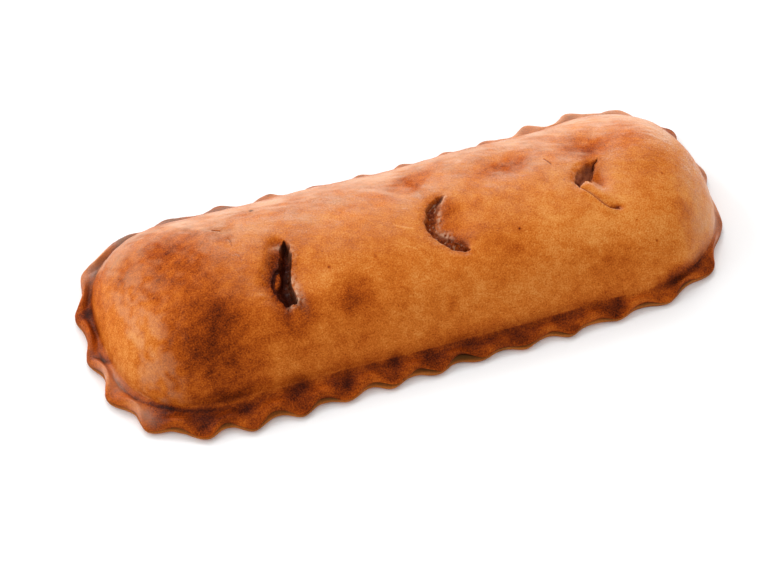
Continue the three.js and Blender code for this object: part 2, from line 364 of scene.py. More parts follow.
tear = (1.3, 0.45)    # how unevenly their edges tore: size and reach
fullGap = 1.5         # a gap this wide has its whole depth
ventSoftening = 3
ventLayers = ("hollow", "flake", "foldShadeAndSpecks", "halo", "wetGlint", "pit", "paintedGreyShade", "fleck")

# Folds, cracks and scratches: a path, half width and depth of the line, rise and reach on its left hand,
# rise and reach on its right hand, and how much browner the line is painted, which in folds and cracks is
# painted shade. A side that isn't given stays level.
level = (0, 1)
creases = [
    # the fold of the third flap, darker along its line for painted shade
    {"path": [(48.0, -6.3), (49.3, -8.0), (50.6, -9.9), (51.8, -12.0), (53.0, -13.5), (54.2, -14.3),
              (55.9, -14.5)],
     "line": (0.3, 0.8), "left": (-0.5, 3), "right": (0.5, 2.4), "brown": 0.22},
    # the crease beside the hump, the crack by the third vent and the small folds by the hump are darker for
    # painted shade
    {"path": [(-46.3, 15), (-46.8, 8.6), (-46.1, -1.5), (-44.1, -11.3)], "line": (2.4, 0.45), "brown": 0.03},
    {"path": [(42.7, 7.2), (43.2, 5.7), (43.7, 3.8)], "line": (0.18, 0.25), "brown": 0.35},
    {"path": [(-49.8, 14.8), (-48.6, 14.1), (-47.4, 13.6)], "line": (0.3, 0.2), "left": (0.12, 1),
     "brown": 0.16},
    {"path": [(-46.6, 10.2), (-46.2, 8.4), (-46.3, 6.6)], "line": (0.3, 0.15), "right": (0.1, 1),
     "brown": 0.1},
    {"path": [(-46.0, 4.0), (-45.6, 2.6), (-45.5, 1.0)], "line": (0.3, 0.12), "right": (0.1, 1),
     "brown": 0.08},
    {"path": [(-4.1, -2.6), (-1.8, -4.1), (0.7, -5.2)], "line": (0.25, -0.06), "brown": -0.2},
    {"path": [(-3.7, -9.2), (-0.7, -11)], "line": (0.25, -0.05), "brown": -0.12},
    # a notch across the groove, darker for painted shade
    {"path": [(-88.5, -1.0), (-86.3, -3.2), (-84.6, -4.8)], "line": (0.6, 0.5), "left": (0.1, 1),
     "right": (0.1, 1), "brown": 0.16},
    # dark line along the foot of the -X end: pooled wash and painted shade
    {"path": [(-86.9, 0.0), (-86.6, -1.5), (-85.8, -7.8), (-84.2, -13.1), (-81.9, -17.7), (-78.8, -21.0),
              (-75.4, -23.4), (-70.8, -26.1), (-63.5, -28.6), (-55.4, -29.3)],
     "line": (0.5, 0.3), "brown": 0.2},
    # ridge along the front of the -X end, paler for a painted highlight, and the fold above it, darker for
    # painted shade
    {"path": [(-76, -21.6), (-71.7, -24.9), (-68.2, -26.6), (-64.4, -27.8), (-60.5, -28.5), (-56.4, -28.7),
              (-52.2, -28.6), (-48.6, -28.4)], "line": (0.6, -0.4), "brown": -0.1},
    {"path": [(-63.4, -26.4), (-58.9, -27.2), (-54.9, -27.3), (-50.7, -27.2), (-46.4, -27.0)],
     "line": (0.5, 0.35), "brown": 0.08},
]
creaseSpan = 8  # nothing of a fold is felt further from its path

# Small dents and bulges by the vents: x, y, reaches, turn, rise, and how much browner
dimples = [
    (51.7, -8.2, 3.4, 1.4, -58, 0.8, -0.02),    # rolled finger of the third flap
    # the shaded hollow and the end of the fold below it are browner for painted shade
    (54.5, -4.0, 2.8, 1.4, 75, -1.1, 0.18),     # shaded hollow behind it
    (55.6, -14.4, 1.2, 0.6, -10, -0.5, 0.34),   # end of the fold below it
    (-37.4, -0.8, 3.8, 1.9, 60, -0.9, 0.16),    # the crust sank beside the first vent
    # the lit lip at the top of the first vent is paler for a painted highlight
    (-36.2, 1.6, 1.6, 1.0, 20, 0.2, -0.08),
    (11.6, -3.6, 2.6, 4.4, 0, 0.3, 0.05),       # lobe of the second flap
    (-36.5, -17.9, 3.2, 1.2, 0, -0.3, 0.03),
]

# Dark specks: x, y, size, how much browner
specks = [
    (-37.3, 18.6, 0.5, 0.6), (27.5, -13.3, 0.35, 0.4), (59.3, -19.0, 0.3, 0.3), (63.1, -24.5, 0.3, 0.3),
    (-24.5, -8.9, 0.5, 0.25), (-12.0, -9.9, 0.6, 0.2), (44.8, -2.5, 0.3, 0.25), (71.5, -8.0, 0.35, 0.25),
    (-70.5, -2.0, 0.35, 0.2),
]

# Faces are halved once within each of these distances of a vent's edges, and nearer to folds and specks
refineReaches = (2.2, 0.9)
foldShare = 0.6
ventSpan = 6


def sampledPath(points, steps=24):
    # a tree of close points on the smooth path, with the way it runs at each
    rows = [curveThrough(points, i / steps) for i in range(steps * (len(points) - 1) + 1)]
    tree = kdtree.KDTree(len(rows))
    for i, (x, y) in enumerate(rows):
        tree.insert((x, y, 0), i)
    tree.balance()
    ways = [Vector((b[0] - a[0], b[1] - a[1])).normalized() for a, b in zip(rows, rows[1:])]
    return {"tree": tree, "points": rows, "ways": ways + ways[-1:]}


def nearPath(path, x, y):
    # distance to the path, which side of it (1 is the left hand), share of its length, number of the point
    near, index, distance = path["tree"].find((x, y, 0))
    way = path["ways"][index]
    side = way.x * (y - near.y) - way.y * (x - near.x)
    return distance, 1 if side > 0 else -1, index / (len(path["points"]) - 1), index


def readPaths():
    for vent in vents:
        cut, flap = sampledPath(vent["cut"]), sampledPath(vent["flap"])
        for path, other in ((cut, flap), (flap, cut)):
            path["gaps"] = [other["tree"].find((x, y, 0))[2] for x, y in path["points"]]
        vent["cutPath"], vent["flapPath"] = cut, flap
    for crease in creases:
        crease["run"] = sampledPath(crease["path"])


def ventAt(vent, x, y):
    # distances to the cut and the flap, whether the point is between them, how wide the gap is at each,
    # and the flap's share
    toCut, cutSide, cutShare, cutIndex = nearPath(vent["cutPath"], x, y)
    toFlap, flapSide, flapShare, flapIndex = nearPath(vent["flapPath"], x, y)
    nearest = cutShare if toCut < toFlap else flapShare
    inside = 0 < nearest < 1 and (cutSide > 0 if toCut < toFlap else flapSide < 0)
    cutGap, flapGap = vent["cutPath"]["gaps"][cutIndex], vent["flapPath"]["gaps"][flapIndex]
    return toCut, toFlap, inside, cutGap, flapGap, flapShare


def wantsDetail(x, y, reach):
    for vent in vents:
        toCut, toFlap, inside = ventAt(vent, x, y)[:3]
        if min(toCut, toFlap) < (ventSpan if inside else reach):
            return True
    close = foldShare * reach
    return (any(nearPath(crease["run"], x, y)[0] < close for crease in creases)
            or any(math.hypot(x - speckX, y - speckY) < close for speckX, speckY, _, _ in specks))


def refine(bm):
    # close faces round the vents, folds and specks, closest along their edges
    for reach in refineReaches:
        middles = ((f, f.calc_center_median()) for f in bm.faces)
        near = [f for f, mid in middles if mid.z >= ventsAbove and wantsDetail(mid.x, mid.y, reach)]
        edges = list({e for f in near for e in f.edges})
        bmesh.ops.subdivide_edges(bm, edges=edges, cuts=1, use_grid_fill=True)


def foldLift(v, foldShadeAndSpecks):
    # how far folds and dimples move the point up, and how much browner they and the specks make it
    x, y, z = v.co
    lift = 0.0
    for crease in creases:
        distance, side, share, _ = nearPath(crease["run"], x, y)
        if distance > creaseSpan:
            continue
        ends = softStep(0, 0.15, share) * (1 - softStep(0.85, 1, share))
        width, depth = crease["line"]
        line = math.exp(-(distance / width) ** 2) * (0.35 + 0.65 * ends)
        rise, reach = crease.get("left" if side > 0 else "right", level)
        rise *= ends * (1 - softStep(0, reach, distance)) * softStep(0, 0.3, distance)
        lift += (rise - depth * line) * softStep(0.3, 2.5, z)
        v[foldShadeAndSpecks] += crease["brown"] * line
    for dimple in dimples:
        here = softBlob(x, y, dimple)
        lift += dimple[5] * here
        v[foldShadeAndSpecks] += dimple[6] * here
    for speckX, speckY, size, brown in specks:
        v[foldShadeAndSpecks] += brown * math.exp(-((x - speckX) ** 2 + (y - speckY) ** 2) / size ** 2)
    return lift


def ventLift(v, vent, lift, layer):
    # the lift with the vent's added to it, and what the vent leaves on the point
    hollow, flake, halo, wetGlint = (layer[name] for name in ("hollow", "flake", "halo", "wetGlint"))
    x, y, _ = v.co
    size, reach = tear
    tornX, tornY = x + reach * drawn(v.co, size), y + reach * drawn(v.co, size, (4, 2, 8))
    toCut, toFlap, inside, cutGap, flapGap, share = ventAt(vent, tornX, tornY)
    if min(toCut, toFlap) > 14:
        return lift
    # the sag fades out before the vent's tips
    sag = vent["sag"][5] * max(0.0, softBlob(x, y, vent["sag"]) - 0.12) / 0.88
    runs = easeThrough(vent["run"], share) * math.exp(-(toFlap / vent["runReach"]) ** 1.3)
    scorch = vent["halo"] * math.exp(-toCut / vent["haloReach"])
    wetness = easeThrough(vent["wetGlint"], share)
    if inside:
        width = toCut + toFlap
        across = toCut / (width + 1e-6)
        lift += easeThrough(vent["floor"], across) * min(1.0, width / fullGap) + sag * across
        rolled = 1 - easeThrough(vent["rolled"], share) * softStep(0.6, 1, across)
        dark = softStep(-0.04, easeThrough(vent["soft"], share), across) * min(1.0, width / 0.8) * rolled
        v[hollow] = max(v[hollow], dark)
        v[wetGlint] = max(v[wetGlint], wetness * softStep(0.9, 1, across))
        v[halo] = max(v[halo], scorch, runs)
        v[layer["fleck"]] = vent.get("flecks", 0)
        v[layer["pit"]] = vent["brown"]
        v[layer["paintedGreyShade"]] = vent.get("paintedGreyShade", 0)
        if "flake" in vent:
            a, b = turnedPlace(x, y, vent["flake"])
            on = 1 - softStep(0.7, 1.15, math.hypot(a, b))
            lift += (vent["flake"][5] + 0.5 * b - lift) * on
            v[flake] = on * softStep(-1.3, 0.1, b)
    elif toFlap < toCut:
        opened = min(1.0, flapGap / fullGap)
        lift += sag + opened * vent["flapLip"] * (1 - softStep(0, vent["flapReach"], toFlap))
        v[halo] = max(v[halo], runs * opened)
        v[wetGlint] = max(v[wetGlint], opened * wetness * (1 - softStep(0.1, vent["wetReach"], toFlap)))
    else:
        opened = min(1.0, cutGap / fullGap)
        lift += opened * vent["lip"] * (1 - softStep(0, vent["lipReach"], toCut))
        v[halo] = max(v[halo], opened * scorch)
    return lift


def cutVents(bm):
    layers = bm.verts.layers.float
    layer = {name: layers.new(name) for name in ventLayers}
    rowOf = layers["row"]
    moves = []
    for v in bm.verts:
        if v[rowOf] < 1:
            continue
        lift = foldLift(v, layer["foldShadeAndSpecks"])
        if v.co.z >= ventsAbove:
            for vent in vents:
                lift = ventLift(v, vent, lift, layer)
        if lift:
            moves.append((v, lift))
    for v, lift in moves:
        v.co.z += lift
    halo, hollow = layer["halo"], layer["hollow"]
    edges = [v for v in bm.verts if 0.1 < v[halo] or 0.05 < v[hollow] < 0.95]
    soften(bm, edges, ventSoftening)


# Baked unevenness: size in millimetres and height of each pattern
relief = {
    "swells": (16, 0.4), "blisters": (5, 0.1), "grain": (1.7, 0.035),
    # wrinkles across the brush: size, height, height added on the far side, stretch and slant
    "wrinkles": (1.3, 0.05, 0.09, 0.3, 0.35),
    # the rim keeps this share of all that, and has lumps of its own
    "rimShare": 0.6, "rimLumps": (3.2, 0.2),
    "ventFloor": (1.6, 0.3), "wetEdge": (0.7, 0.14),
    # the underside stays flat: full height from here up
    "fullFrom": 1.2,
}


def roughen(bm):
    # moves each point along the surface's own direction
    layers = bm.verts.layers.float
    rowOf, hollow, wetGlint = layers["row"], layers["hollow"], layers["wetGlint"]

    def pattern(name, p, seed=(0, 0, 0)):
        size, height = relief[name]
        return height * drawn(p, size, seed)

    size, height, added, stretch, slant = relief["wrinkles"]
    bm.normal_update()
    for v in bm.verts:
        if v[rowOf] < 1:
            continue
        p = v.co
        lift = pattern("swells", p) + pattern("blisters", p, (7, 3, 1)) + pattern("grain", p)
        across = Vector((stretch * (p.x - slant * p.y), p.y + slant * p.x, p.z))
        lift += (height + added * softStep(-0.1, 0.35, v.normal.y)) * drawn(across, size)
        if v[rowOf] < 2:
            lift = relief["rimShare"] * lift + pattern("rimLumps", p, (2, 9, 4))
        lift += v[hollow] * pattern("ventFloor", p) + v[wetGlint] * pattern("wetEdge", p)
        v.co = p + v.normal * lift * softStep(0, relief["fullFrom"], p.z)


readPaths()
bm = buildShell()
print("shell:", len(bm.verts), "points")
refine(bm)
cutVents(bm)
roughen(bm)
print("vents and relief:", len(bm.verts), "points,", sum(len(f.verts) - 2 for f in bm.faces), "triangles")


# Browning of the crust, with painted shade laid into it: 0.4 is plain golden crust, 1 nearly black. Spots are
# x, y, reaches, turn, amount.
bake = {
    "plain": 0.4, "nearShade": 0.02, "farShade": 0.15, "foot": 0.63, "underside": 0.58,
    # height where the foot's browning and painted shade start to fade, over what height, and how much less at
    # the -X end
    "footFade": (3.6, 3.3, 1.8),
    # the paler spots at (-44, 7) and (66, 21) are painted sheen
    "spots": [
        (-61.5, -16.5, 8, 7, 20, 0.26), (-54, -16, 5, 6, 0, 0.1), (-44, 7, 7, 8, 0, -0.07),
        (-60, -24, 9, 4, -5, 0.06), (-62, 6, 14, 8, 5, 0.18), (-56, -6, 7, 8, 0, 0.06),
        (50, -25, 6, 3, 0, 0.08), (-84, 5, 6, 8, 0, 0.02), (-82, -5, 6, 9, 0, -0.09),
        (-20.5, -18, 4, 2.6, -10, 0.28), (-36.8, -18.6, 4.5, 2.6, 0, 0.2), (5.8, 12.2, 5, 2.6, 20, 0.1),
        (33, 9.5, 6, 2.4, 0, 0.12), (55.5, 8.4, 5, 3.8, 0, 0.13), (11.4, -5, 3.4, 5, 0, 0.08),
        (22.5, -15.5, 4, 4, 0, 0.09), (69, -4, 3, 8, -20, 0.07), (74, -20, 2.6, 3.6, 35, 0.13),
        (52, -19, 24, 10, 0, -0.09), (47, -27, 6, 3.5, 10, 0.07), (78, -9, 8, 12, 0, -0.03),
        (66, 21, 16, 5, 0, -0.06),
    ],
    # how far the spots and the dull skin wander from their plan
    "drift": (6, 2.5),
    # where the skin has no sheen
    "dull": [
        (56.5, 8.6, 7, 5.4, 0, 1.15), (33, 9.5, 7, 3.4, 10, 1.1), (5.8, 12.2, 6, 3.4, 20, 1.05),
        (11.6, -4.4, 4, 6, 0, 0.95), (-36, -18.5, 5, 2.8, 0, 0.8), (54.6, -3.6, 2, 3.5, 0, 1.0),
        (-66, 2, 13, 14, 5, 1.25), (69, 8, 4, 9, -20, 0.8),
    ],
    # where the wash ran together along the foot
    "pools": [
        (-40.2, -29.1, 2.2, 1.6, 0, 0.14), (-27.7, -30.8, 1.8, 1.3, 0, 0.12),
        (-13.6, -29.7, 1.3, 2.2, 0, 0.16), (18, -32.3, 12, 2.4, 2, 0.03), (65.5, -29.6, 3.5, 1.5, 15, 0.2),
        (71, -27.2, 5, 2.0, 26, 0.36), (76.5, -24.0, 3, 1.6, 42, 0.2), (-54.7, -30.8, 3, 1.2, 10, 0.1),
        (-66, -29.6, 8, 1.4, -14, 0.1),
    ],
    # glossy flats where fingers pressed the rim, each with a painted highlight
    "pressed": [
        (-85.9, -9.5, 4.2, 1.5, -73, 0.9), (-81.4, -22.4, 3.2, 1.2, -68, 0.9), (-81, 26.6, 2.8, 0.9, 42, 0.8),
        (11.4, 2.3, 1.7, 0.5, 42, 0.9), (-36.0, 1.9, 1.3, 0.7, 10, 0.3), (86.6, -10.2, 2.2, 1.3, 80, 0.6),
        (84.6, -17.5, 3.4, 1.2, 70, 0.6),
    ],
    # pale wet spots where the vents' edges catch the light
    "glints": [
        (11.4, 2.2, 1.6, 0.45, 25, 0.9), (8.7, -2.6, 0.5, 2.4, -20, 0.7), (8.4, -8.0, 1.7, 0.8, -35, 0.7),
        (-32.7, -1.2, 0.6, 1.8, 0, 0.6), (-34.6, -11.2, 0.8, 2.9, 5, 0.75), (-37, -16.0, 1.4, 0.35, 5, 0.65),
        (-35.7, 2.1, 1.2, 0.6, 10, 0.6),
    ],
    # how dark the dome's foot is painted, by place round the rim: pooled wash and painted shade
    "band": [
        (0, 0.1), (0.05, 0.1), (0.34, 0.1), (0.38, 0.4), (0.42, 0.9), (0.482, 1.0), (0.5, 0.25), (0.555, 0.2),
        (0.58, 0.7), (0.61, 0.75), (0.64, 0.5), (0.66, 0.65), (0.7, 0.6), (0.73, 0.55), (0.77, 0.75),
        (0.852, 0.7), (0.873, 0.2), (0.886, 0.4), (0.9, 0.5), (0.913, 0.4), (0.93, 0.3), (0.95, 0.15),
        (1, 0.1),
    ],
    # the -X end, where the foot is steep, by place
    "steepEnd": [(0.38, 0), (0.42, 1), (0.54, 1), (0.58, 0)],
    # how glossy the rim is, and how much paler, by place
    "polish": [
        (0, 0.3), (0.3, 0.3), (0.36, 0.7), (0.41, 0.7), (0.43, 0.15), (0.485, 0.15), (0.505, 0.7),
        (0.56, 0.7), (0.59, 0.1), (0.64, 0), (0.95, 0), (1, 0.3),
    ],
    "paler": [
        (0, 0.05), (0.3, 0), (0.36, -0.12), (0.41, -0.1), (0.43, 0.02), (0.49, 0.04), (0.508, 0.14),
        (0.555, 0.12), (0.58, 0), (0.855, 0), (0.873, 0.12), (0.9, 0.1), (0.93, 0.1), (0.96, 0.08), (1, 0.05),
    ],
    # from the underside's edge to the dome's foot, by the rows of rimSection
    "rim": [(0, 0.66), (1, 0.61), (2, 0.59), (3, 0.76), (4, 0.66), (5, 0.66), (6, 0.67), (7, 0.68), (8, 0.65),
            (9, 0.61), (10, 0.57)],
    # what the rim's groove, steep groove, tips, valleys, gapes and far side add to that: the groove's is
    # pooled wash and painted shade, the gapes' is painted shade in the opening between the sheets, the far
    # side's is a painted sheen
    "rimAdds": {"groove": 0.05, "steep": 0.14, "tip": 0.1, "valley": -0.05, "gape": 0.25, "far": -0.06},
}
finishLayers = ("browningAndPaintedShade", "gloss", "wash", "glazeAndPaintedSheen", "cutEdge", "paintedHighlight")


def rimFinish(p, row, spoke, band, steep):
    share, tip, adds = spoke["share"], spoke["tip"], bake["rimAdds"]
    section = (row - 1) * (len(crust["rimSection"]) - 1)
    upper = softStep(3.5, 5, section)
    brown = easeThrough(bake["rim"], section) + 0.09 * drawn(p, 4) + 0.06 * drawn(p, 11)
    # darker in the groove: pooled wash and painted shade
    brown += (adds["groove"] + adds["steep"] * steep) * band * softStep(7.0, 8.2, section)
    brown -= easeThrough(bake["paler"], share) * upper
    brown += adds["tip"] * softStep(4.5, 6.5, section) * tip * (0.8 + whim(share, 6))
    brown += adds["valley"] * (1 - tip) * softStep(4, 5.5, section) * (1 - softStep(7, 8.5, section))
    # painted shade in the opening where the sheets gape
    brown += adds["gape"] * spoke["gape"] * max(0.0, 1 - abs(section - 3.1) / 0.9)
    # the far side and the draped ends get a painted sheen: paler, glazed and tinted pale
    draped = softStep(0.4, 0.8, easeThrough(crust["drape"], share))
    far = max(softStep(0.2, 0.8, spoke["normal"].y), draped) * upper
    red = softStep(7.0, 8.6, section) * band * max(0.0, 0.35 + 0.9 * drawn(p, 5))
    polish = easeThrough(bake["polish"], share)
    return {"browningAndPaintedShade": brown + adds["far"] * far, "wash": red,
            "gloss": (0.06 + 0.3 * polish) * red + (0.01 + 0.36 * polish) * softStep(5, 6.5, section),
            "glazeAndPaintedSheen": 0.55 * far, "paintedHighlight": 0.2 * far * (1 - draped),
            "cutEdge": softStep(0.3, 1.2, section) * (1 - softStep(2.6, 3.4, section))}


def domeFinish(p, lean, band, steep, inVent):
    # the browning with its painted shade, and the painted sheen and paleness, follow the way that the skin
    # leans
    size, reach = bake["drift"]
    x, y = p.x + reach * drawn(p, size), p.y + reach * drawn(p, size, (5, 5, 5))
    # darker toward the near side and toward the far side: painted shade
    brown = bake["plain"] + bake["nearShade"] * softStep(0, 1, -lean.y)
    brown += bake["farShade"] * softStep(-0.1, 0.6, lean.y)
    brown += sum(spot[5] * softBlob(x, y, spot) for spot in bake["spots"])
    # the foot is darker: pooled wash and painted shade
    start, fade, less = bake["footFade"]
    foot = math.exp(-(max(0.0, p.z - start) / (fade - less * steep)) ** 1.5)
    brown += (bake["foot"] - bake["plain"]) * band * foot
    red = 0.4 * band * foot ** 2
    # broken sheen on the -X flank
    patches = drawn(p, 5, (1, 8, 3)) + 0.7 * drawn(p, 1.8)
    flank = 0.3 * softStep(0.2, 0.6, -lean.x) * (1 - softStep(0.7, 0.9, -lean.x))
    flank *= softStep(-0.4, 0.5, patches)
    # painted sheen: where it is high the colour is tinted pale as well as glazed
    sheen = max(0.75 * softStep(-0.4, 0.35, lean.y), 0.6 * softStep(0.25, 0.6, lean.x))
    sheen *= 0.9 + 0.5 * drawn(p, 7) + 0.4 * drawn(p, 2.4)
    worn = 0.8 + 0.5 * drawn(p, 2.2)
    for spot in bake["dull"]:
        sheen *= 1 - spot[5] * worn * flatBlob(x, y, spot)
    steepFar = softStep(0.42, 0.82, lean.y + 0.15 * drawn(p, 6))
    sheen = max(sheen * (1 - softStep(0.6, 0.85, -lean.x)), flank, softStep(0.42, 0.6, lean.y))
    # paler on slopes facing away and toward the +X end: painted sheen
    paintedSheen = 0.5 * softStep(0.28, 0.5, 0.55 * lean.x + 0.8 * lean.y)
    paintedSheen *= (1 - 0.85 * steepFar) * (1 - softStep(0.5, 0.75, lean.x))
    return {"browningAndPaintedShade": brown, "wash": red, "gloss": 0.15 * red, "glazeAndPaintedSheen": sheen * (1 - 0.6 * steepFar),
            "paintedHighlight": max(paintedSheen, 0.5 * flank) * (1 - softStep(0, 0.1, inVent))}


def laySpots(p, skin, hollow):
    for spot in bake["pools"]:
        here = softBlob(p.x, p.y, spot) * softStep(0.5, 2.5, p.z) * (1 - softStep(4.5, 9, p.z))
        skin["browningAndPaintedShade"] += spot[5] * here
        skin["wash"] = max(skin["wash"], 0.8 * here)
    for spot in bake["pressed"]:
        here = spot[5] * softBlob(p.x, p.y, spot) * softStep(1.2, 2.5, p.z)
        skin["gloss"] = max(skin["gloss"], here)
        skin["paintedHighlight"] = max(skin["paintedHighlight"], 0.35 * here)
    broken = softStep(ventsAbove, ventsAbove + 2, p.z) * softStep(-0.35, 0.25, drawn(p, 0.8)) * (1 - hollow)
    for spot in bake["glints"]:
        here = spot[5] * softBlob(p.x, p.y, spot) * broken
        skin["gloss"] = max(skin["gloss"], 0.35 * here)
        skin["paintedHighlight"] = max(skin["paintedHighlight"], 0.8 * here)


def layVents(p, skin, mark, dark):
    # dark floors and loose flake, with wet edges that carry painted highlights, and pale flecks painted as
    # glints
    hollow, wetGlint = mark["hollow"], mark["wetGlint"]
    brown = skin["browningAndPaintedShade"] + mark["foldShadeAndSpecks"] + mark["halo"] * (1 - 0.8 * mark["flake"])
    skin["glazeAndPaintedSheen"] *= (1 - softStep(0.54, 0.74, brown)) * (1 - hollow)
    brown += (mark["pit"] + 0.12 * drawn(p, 0.9) - brown) * dark
    skin["browningAndPaintedShade"] = brown + 0.1 * mark["flake"]
    sticky = dark * (1 - mark["paintedGreyShade"])
    glint = wetGlint * softStep(-0.1, 0.4, drawn(p, 0.8, (3, 1, 4))) * (1 - hollow)
    glintFlecks = mark["fleck"] * softStep(0.3, 0.5, drawn(Vector((0.45 * (p.x + p.y), p.y - p.x, p.z)), 0.7))
    lit = 0.4 * sticky * softStep(0.1, 0.6, drawn(p, 1.1))
    skin["gloss"] = max(skin["gloss"], lit, 0.6 * glint, 0.1 * wetGlint)
    skin["wash"] = max(skin["wash"], sticky)
    skin["paintedHighlight"] = max(skin["paintedHighlight"], 0.08 * wetGlint, 0.8 * glint, dark * glintFlecks)


def paint(bm):
    layers = bm.verts.layers.float
    rowOf, spokeOf = layers["row"], bm.verts.layers.int["spoke"]
    ventLayer = {name: layers[name] for name in ventLayers}
    finishLayer = {name: layers.new(name) for name in finishLayers}
    bm.normal_update()
    for v in bm.verts:
        p, row, spoke = v.co, v[rowOf], spokes[v[spokeOf]]
        mark = {name: v[layer] for name, layer in ventLayer.items()}
        band = easeThrough(bake["band"], spoke["share"])
        steep = easeThrough(bake["steepEnd"], spoke["share"])
        skin = dict.fromkeys(finishLayers, 0.0)
        if row < 1:
            skin["browningAndPaintedShade"] = bake["underside"] + 0.1 * drawn(p, 9)
        elif row < 2:
            skin.update(rimFinish(p, row, spoke, band, steep))
        else:
            skin.update(domeFinish(p, v.normal, band, steep, mark["hollow"] + mark["flake"]))
        dark = mark["hollow"] * (1 - 0.85 * mark["flake"])
        laySpots(p, skin, mark["hollow"])
        layVents(p, skin, mark, dark)
        for name, layer in finishLayer.items():
            v[layer] = skin[name] if name == "browningAndPaintedShade" else min(1.0, max(0.0, skin[name]))
        v[ventLayer["paintedGreyShade"]] *= dark


paint(bm)
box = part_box("empanada")
xs, ys = [v.co.x for v in bm.verts], [v.co.y for v in bm.verts]
middle = Vector(((box[0][0] + box[1][0]) / 2, (box[0][1] + box[1][1]) / 2, box[0][2])) / mm
own = Vector(((min(xs) + max(xs)) / 2, (min(ys) + max(ys)) / 2, 0))
bmesh.ops.translate(bm, verts=bm.verts[:], vec=middle - own)
bmesh.ops.scale(bm, verts=bm.verts[:], vec=(mm, mm, mm))
for f in bm.faces:
    f.smooth = True
mesh = bpy.data.meshes.new("pastry")
bm.to_mesh(mesh)
bm.free()
pastry = bpy.data.objects.new("pastry", mesh)
scene.collection.objects.link(pastry)


def hexColour(code):
    parts = [int(code[i:i + 2], 16) / 255 for i in (0, 2, 4)]
    return tuple(c / 12.92 if c <= 0.04045 else ((c + 0.055) / 1.055) ** 2.4 for c in parts) + (1.0,)


def addNode(tree, kind, inputs=None, **settings):
    node = tree.nodes.new(kind)
    for key, value in settings.items():
        setattr(node, key, value)
    for key, value in (inputs or {}).items():
        if isinstance(value, bpy.types.NodeSocket):
            tree.links.new(value, node.inputs[key])
        else:
            node.inputs[key].default_value = value
    return node


def perMm(size):
    # texture scale for a pattern of that size in millimetres
    return 1 / (size * mm)


# Egg-washed shortcrust, oven baked: satin golden skin with brown mottling, fine dark pores and brush strokes,
# dark sticky gloss where the wash pooled, and a floury pale edge where the sheets were cut. Painted sheen,
# painted highlights and painted shade are laid into its colour by layer.
crustLook = {
    "ramp": [(0.0, "f2b678"), (0.2, "e4964a"), (0.4, "ce7024"), (0.55, "b25312"), (0.7, "863609"),
             (0.85, "501b06"), (1.0, "260b04")],
    # tints by painted layer: colour and how far it covers; the glaze tint is a painted sheen, the pale one
    # painted highlights and the grey one painted shade in the third vent
    "tints": [("glazeAndPaintedSheen", "c4905c", 0.52), ("wash", "4a1608", 0.3), ("cutEdge", "a87038", 0.5),
              ("paintedGreyShade", "6e4638", 0.75), ("paintedHighlight", "f0c09a", 0.75)],
    "roughness": 0.55, "glossRoughness": 0.16, "specular": 0.05, "ior": 1.45, "glazeRoughness": 0.24,
    # pattern size in millimetres, how far it shifts the browning, and its detail
    "clouds": (8, 0.28, 3), "mottle": (3.4, 0.26, 2), "grain": (0.4, 0.44, 1),
    "strokes": (1.5, 0.14, 3), "humpStrokes": (1.8, 0.26, 3),
    # size and darkness of the pores, and between which shares of a cell they fade
    "pores": (0.7, 0.12), "poreEdge": (0.1, 0.28),
    # the brush went another way over the hump at the -X end
    "strokeTurn": -35, "humpTurn": 25, "strokeStretch": 6, "humpFrom": (-52, -40),
    # the browning that wears the glaze away and what is left there, and what lies between the strokes
    "worn": (0.56, 0.8), "wornLeft": 0.1, "strokeEdge": (0.4, 0.6), "betweenStrokes": 0.6,
    # how much of the grain shows under gloss
    "glossGrain": 0.25,
    # depth in millimetres of the relief that bends the light on the crust and on its glaze, the strengths
    # of the crust's and of the glaze's on dull and on glossy skin, and the share of the grain and the strokes
    "bump": 0.25, "glazeBump": 0.28, "bumpStrength": 0.6, "glazeStrengths": (0.7, 0.1),
    "grainShare": 0.6, "strokeShare": 1.2,
}


